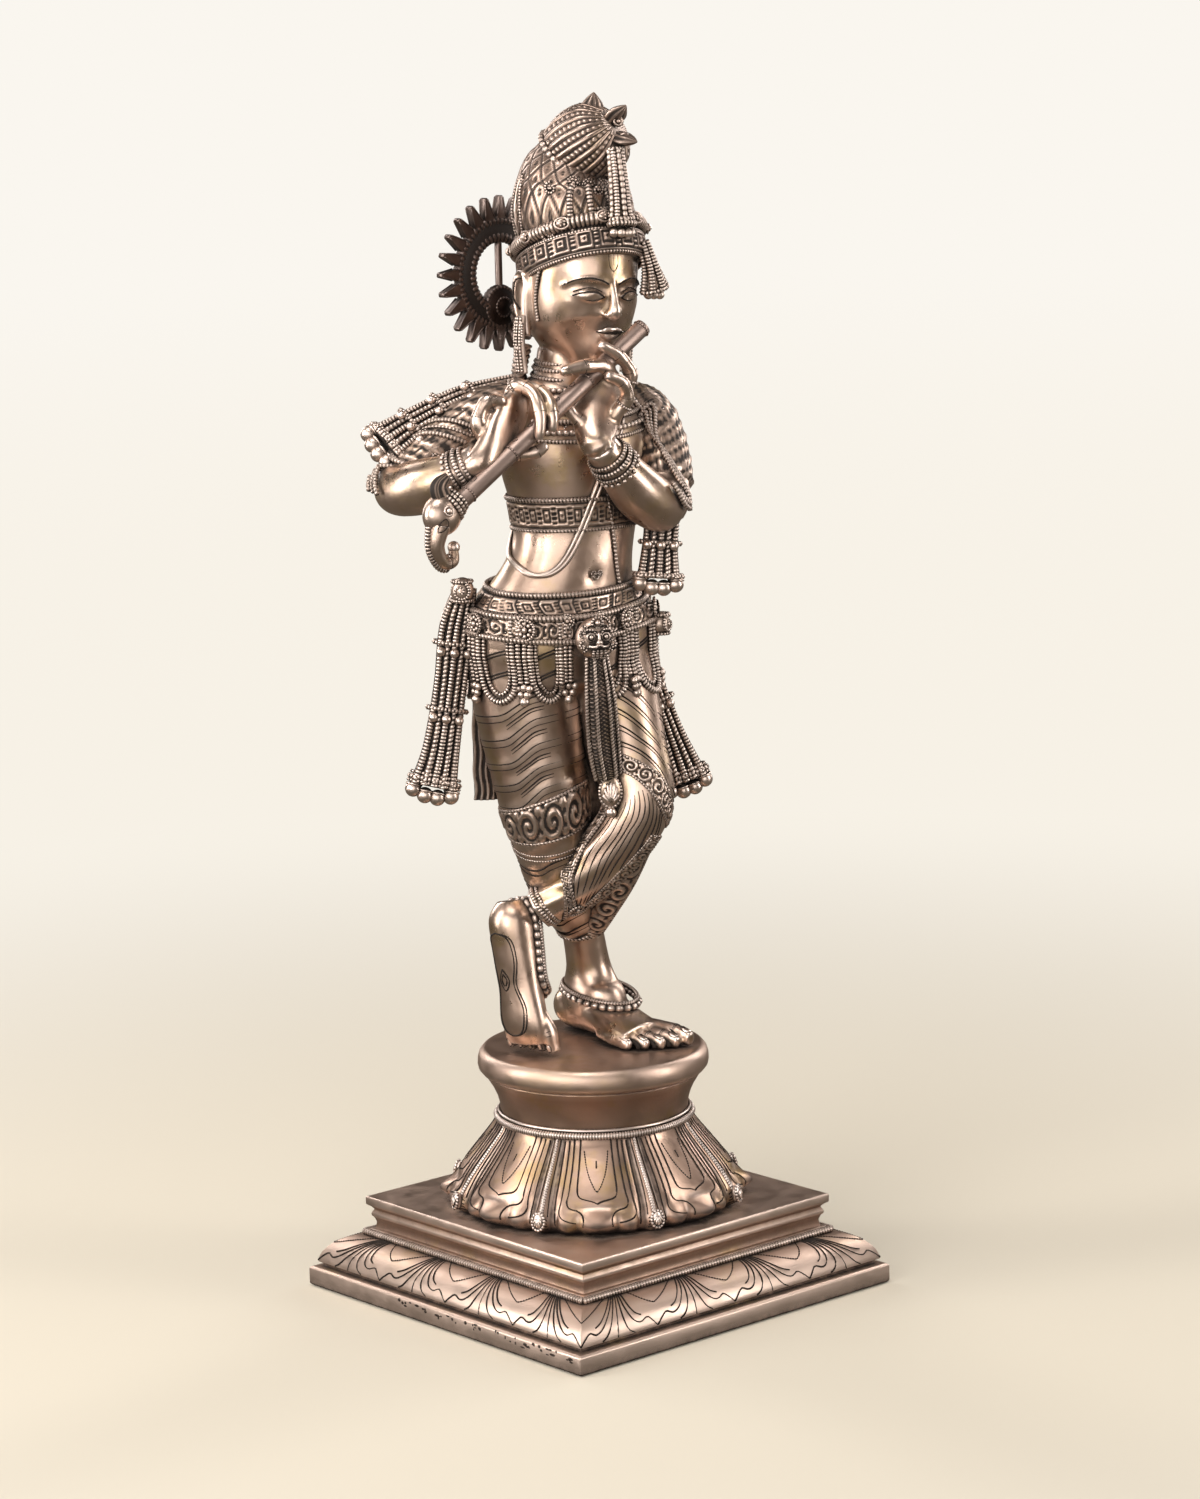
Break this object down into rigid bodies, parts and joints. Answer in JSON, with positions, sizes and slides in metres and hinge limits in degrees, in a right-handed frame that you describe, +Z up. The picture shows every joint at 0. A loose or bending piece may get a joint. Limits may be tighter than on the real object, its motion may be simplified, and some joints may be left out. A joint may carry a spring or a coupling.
{
  "type": "standing figure statue",
  "caption": "Cast brass figure standing with crossed legs and playing a flute, in a tall crown before a toothed ring, on a round lotus pedestal and a square plinth.",
  "frame": {"origin": "middle of the square underside of the plinth", "axes": "+Z up, the figure faces -Y, +X to the figure's left, plinth sides along X and Y"},
  "size_m": [0.2097, 0.1954, 0.5601],
  "materials": {
    "antique_brass": "polished cast brass with near-black patina in the recesses",
    "dull_brass": "plain dull brown brass",
    "dark_brass": "dark patinated cast brass"
  },
  "bodies": {
    "root": {"square_plinth": "antique_brass", "lotus_pedestal": "antique_brass", "figure": "antique_brass", "flute": "dull_brass", "halo_wheel": "dark_brass"}
  },
  "joints": []
}
